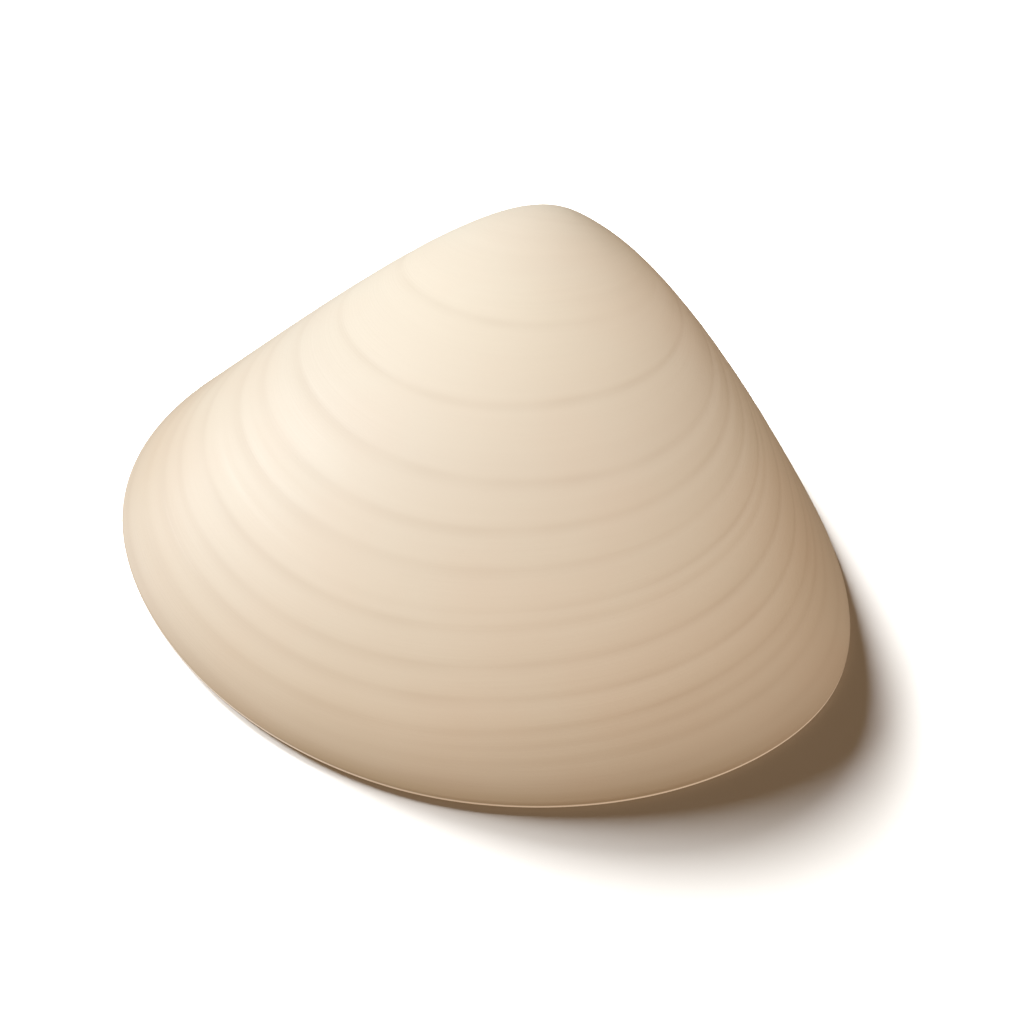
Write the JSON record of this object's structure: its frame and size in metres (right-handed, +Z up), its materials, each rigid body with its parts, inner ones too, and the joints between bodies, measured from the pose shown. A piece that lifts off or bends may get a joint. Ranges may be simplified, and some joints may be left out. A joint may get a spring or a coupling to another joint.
{
  "type": "otter clam shell",
  "caption": "Single valve of a large otter clam: tall rounded fan with a smooth beak, soft concentric growth grooves and a hollow underside.",
  "frame": {"origin": "middle of the box in plan, on the plane that the margin rests on", "axes": "+X along the hinge line, the shell's length; +Y from the lower margin towards the beak; +Z up, out of the bulge"},
  "size_m": [0.14, 0.1248, 0.0313],
  "materials": {
    "shell": "satin"
  },
  "bodies": {
    "root": {"valve": "shell"}
  },
  "joints": []
}
